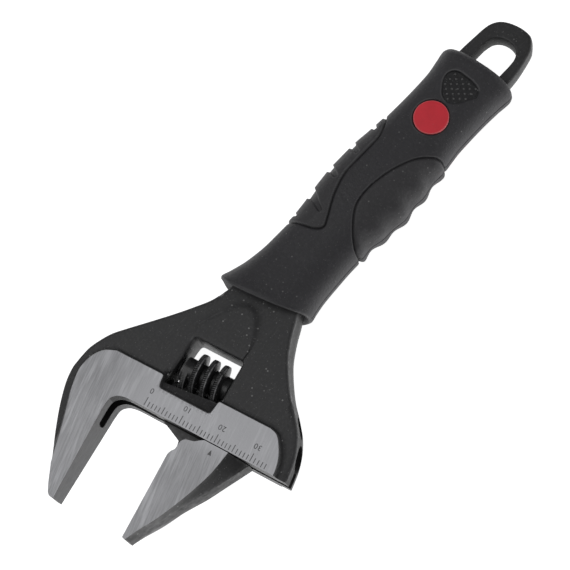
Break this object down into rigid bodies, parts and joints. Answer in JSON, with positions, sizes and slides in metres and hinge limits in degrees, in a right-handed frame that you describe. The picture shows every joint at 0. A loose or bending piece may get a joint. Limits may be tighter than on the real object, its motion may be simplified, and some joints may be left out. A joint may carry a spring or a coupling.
{
  "type": "adjustable wrench",
  "caption": "Wide-opening adjustable wrench: forged head with a fixed jaw, a sliding jaw on a worm-driven rail, and a moulded two-tone grip with a hanging loop.",
  "frame": {"origin": "middle of the box's base, under the wrench as it lies flat", "axes": "+X along the handle towards the hanging loop, +Z out of the scale side; the jaws open along a line turned 15 degrees from -Y towards +X"},
  "size_m": [0.165, 0.0596, 0.0176],
  "materials": {
    "forged_black": "black phosphate coat on a forging, satin, slightly rough",
    "ground_steel": "ground steel, fine lines along the jaws",
    "spring_steel": "drawn spring wire",
    "grip_hard": "matte moulded plastic",
    "grip_soft": "soft matte elastomer",
    "disc_red": "satin red plastic"
  },
  "bodies": {
    "wrench": {"body": "forged_black", "worm_pin": "forged_black", "worm_spring": "spring_steel", "grip_sleeve": "grip_hard", "thumb_pad": "grip_soft", "finger_pad": "grip_soft", "red_disc_front": "disc_red", "red_disc_back": "disc_red", "heel_pad_front": "grip_soft", "heel_pad_back": "grip_soft"},
    "jaw": {"movable_jaw": "ground_steel"},
    "worm_screw": {"worm": "forged_black"}
  },
  "joints": [
    {"name": "jaw_slide", "type": "slide", "parent": "wrench", "child": "jaw", "axis": [0.2588, -0.9659, 0], "range_m": [-0.02, 0.014]},
    {"name": "worm_spin", "type": "hinge", "parent": "wrench", "child": "worm_screw", "pos_m": [-0.03561, 0.00331, 0.00882], "axis": [0.2588, -0.9659, 0], "range_deg": [-1653.46, 2361.66]}
  ],
  "couplings": [
    {"joint": "worm_spin", "follows": "jaw_slide", "rad_per_m": -2060.1}
  ]
}
